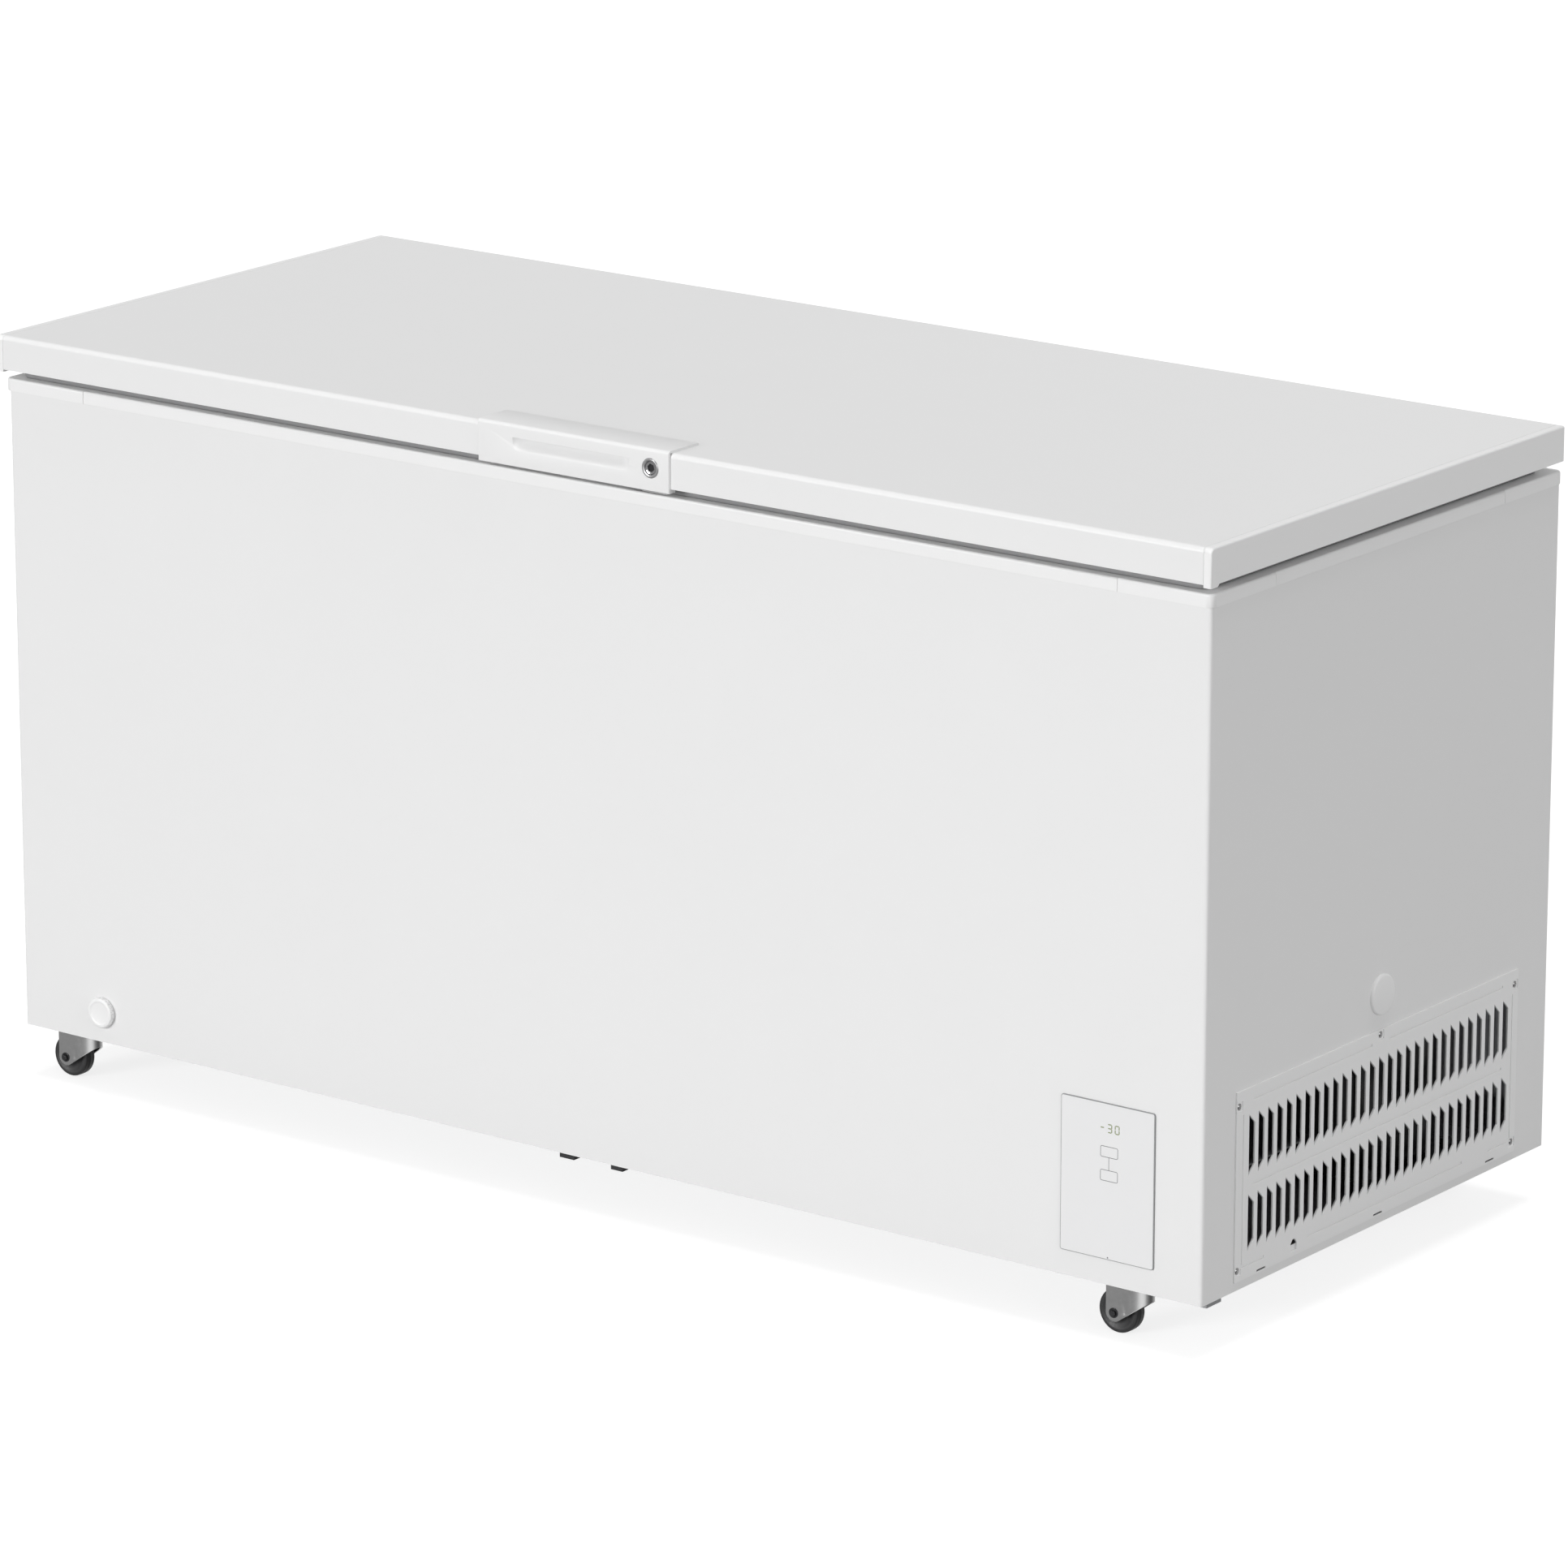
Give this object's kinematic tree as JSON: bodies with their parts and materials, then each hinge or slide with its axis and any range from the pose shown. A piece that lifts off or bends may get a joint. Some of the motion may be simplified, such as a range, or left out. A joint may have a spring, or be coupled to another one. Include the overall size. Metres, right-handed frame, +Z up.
{
  "type": "chest freezer",
  "caption": "Long white chest freezer on swivel casters with a hinged foam lid, key lock in the handle, touch control panel, drain plug and louvred machine-bay cover.",
  "frame": {"origin": "on the floor, under the middle of the whole freezer's box", "axes": "+X to the right as seen from the front, the front faces -Y, +Z up"},
  "size_m": [1.6644, 0.716, 0.8869],
  "materials": {
    "white_steel": "white baked enamel, faint orange peel",
    "galvanised_steel": "dull zinc-coated sheet",
    "foam": "rigid closed-cell foam",
    "liner_sheet": "stucco-embossed aluminium",
    "white_plastic": "satin white moulded plastic",
    "dark_plastic": "matt black moulded plastic",
    "zinc_steel": "bright zinc plate",
    "gloss_white": "glossy white panel",
    "board_green": "circuit board with lacquer",
    "black_steel": "black stoved paint",
    "grey_rubber": "grey rubber",
    "copper": "drawn copper tube",
    "tube_aluminium": "drawn aluminium tube",
    "tube_steel": "coated steel tube",
    "clear_plastic": "frosted lamp lens",
    "gasket_rubber": "soft grey seal",
    "chrome": "polished chrome",
    "tyre_black": "hard black rubber",
    "white_wire": "white dipped wire"
  },
  "bodies": {
    "cabinet": {"outer_wrapper": "white_steel", "back_panel": "galvanised_steel", "bottom_panel": "galvanised_steel", "compartment_panel": "galvanised_steel", "cabinet_foam": "foam", "inner_liner": "liner_sheet", "collar_front": "white_plastic", "collar_back": "white_plastic", "collar_sides": "white_plastic", "collar_corners": "white_plastic", "striker_box": "dark_plastic", "hinge_bases": "zinc_steel", "hinge_pins": "zinc_steel", "hinge_springs": "zinc_steel", "hinge_screws": "zinc_steel", "caster_plates": "zinc_steel", "side_grille": "white_plastic", "cover_screws": "zinc_steel", "side_cap": "white_plastic", "control_bezel": "dark_plastic", "control_glass": "gloss_white", "control_housing": "dark_plastic", "control_board": "board_green", "display_module": "dark_plastic", "drain_tube": "white_plastic", "base_clips": "dark_plastic", "compressor_tray": "galvanised_steel", "compressor": "black_steel", "compressor_feet": "grey_rubber", "relay_cover": "dark_plastic", "refrigerant_pipes": "copper", "filter_drier": "copper", "rear_cover": "galvanised_steel", "cord_gland": "dark_plastic", "evaporator_coil": "tube_aluminium", "condenser_coil": "tube_steel"},
    "lid": {"lid_skin": "white_steel", "lid_cap_left": "white_plastic", "lid_cap_right": "white_plastic", "lid_foam": "foam", "lid_liner": "white_plastic", "lamp_lens": "clear_plastic", "lid_gasket": "gasket_rubber", "handle": "white_plastic", "lock_ring": "chrome", "lock_housing": "dark_plastic", "hinge_arms": "zinc_steel"},
    "lock": {"lock_cylinder": "chrome"},
    "fork_front_left": {"caster_fork_front_left": "zinc_steel"},
    "wheel_front_left": {"caster_wheel_front_left": "tyre_black"},
    "fork_front_right": {"caster_fork_front_right": "zinc_steel"},
    "wheel_front_right": {"caster_wheel_front_right": "tyre_black"},
    "fork_back_left": {"caster_fork_back_left": "zinc_steel"},
    "wheel_back_left": {"caster_wheel_back_left": "tyre_black"},
    "fork_back_right": {"caster_fork_back_right": "zinc_steel"},
    "wheel_back_right": {"caster_wheel_back_right": "tyre_black"},
    "drain_plug": {"drain_plug": "white_plastic"},
    "drain_stopper": {"drain_stopper": "grey_rubber"},
    "basket": {"basket": "white_wire"}
  },
  "joints": [
    {"name": "lid_hinge", "type": "hinge", "parent": "cabinet", "child": "lid", "pos_m": [0, 0.34895, 0.8531], "axis": [-1, 0, 0], "range_deg": [0, 80]},
    {"name": "lock_turn", "type": "hinge", "parent": "lid", "child": "lock", "pos_m": [0.111, -0.3525, 0.8653], "axis": [0, -1, 0], "range_deg": [0, 90]},
    {"name": "caster_swivel_front_left", "type": "hinge", "parent": "cabinet", "child": "fork_front_left", "pos_m": [-0.756, -0.30855, 0.05], "axis": [0, 0, 1], "continuous": true},
    {"name": "wheel_roll_front_left", "type": "hinge", "parent": "fork_front_left", "child": "wheel_front_left", "pos_m": [-0.78, -0.30855, 0.025], "axis": [0, 1, 0], "continuous": true},
    {"name": "caster_swivel_front_right", "type": "hinge", "parent": "cabinet", "child": "fork_front_right", "pos_m": [0.726, -0.30855, 0.05], "axis": [0, 0, 1], "continuous": true},
    {"name": "wheel_roll_front_right", "type": "hinge", "parent": "fork_front_right", "child": "wheel_front_right", "pos_m": [0.702, -0.30855, 0.025], "axis": [0, 1, 0], "continuous": true},
    {"name": "caster_swivel_back_left", "type": "hinge", "parent": "cabinet", "child": "fork_back_left", "pos_m": [-0.756, 0.29945, 0.05], "axis": [0, 0, 1], "continuous": true},
    {"name": "wheel_roll_back_left", "type": "hinge", "parent": "fork_back_left", "child": "wheel_back_left", "pos_m": [-0.78, 0.29945, 0.025], "axis": [0, 1, 0], "continuous": true},
    {"name": "caster_swivel_back_right", "type": "hinge", "parent": "cabinet", "child": "fork_back_right", "pos_m": [0.726, 0.29945, 0.05], "axis": [0, 0, 1], "continuous": true},
    {"name": "wheel_roll_back_right", "type": "hinge", "parent": "fork_back_right", "child": "wheel_back_right", "pos_m": [0.702, 0.29945, 0.025], "axis": [0, 1, 0], "continuous": true},
    {"name": "drain_plug_pull", "type": "slide", "parent": "cabinet", "child": "drain_plug", "axis": [0, -1, 0], "range_m": [0, 0.03]},
    {"name": "drain_stopper_lift", "type": "slide", "parent": "cabinet", "child": "drain_stopper", "axis": [0, 0, 1], "range_m": [0, 0.03]},
    {"name": "basket_slide", "type": "slide", "parent": "cabinet", "child": "basket", "axis": [1, 0, 0], "range_m": [0, 1.2]}
  ]
}
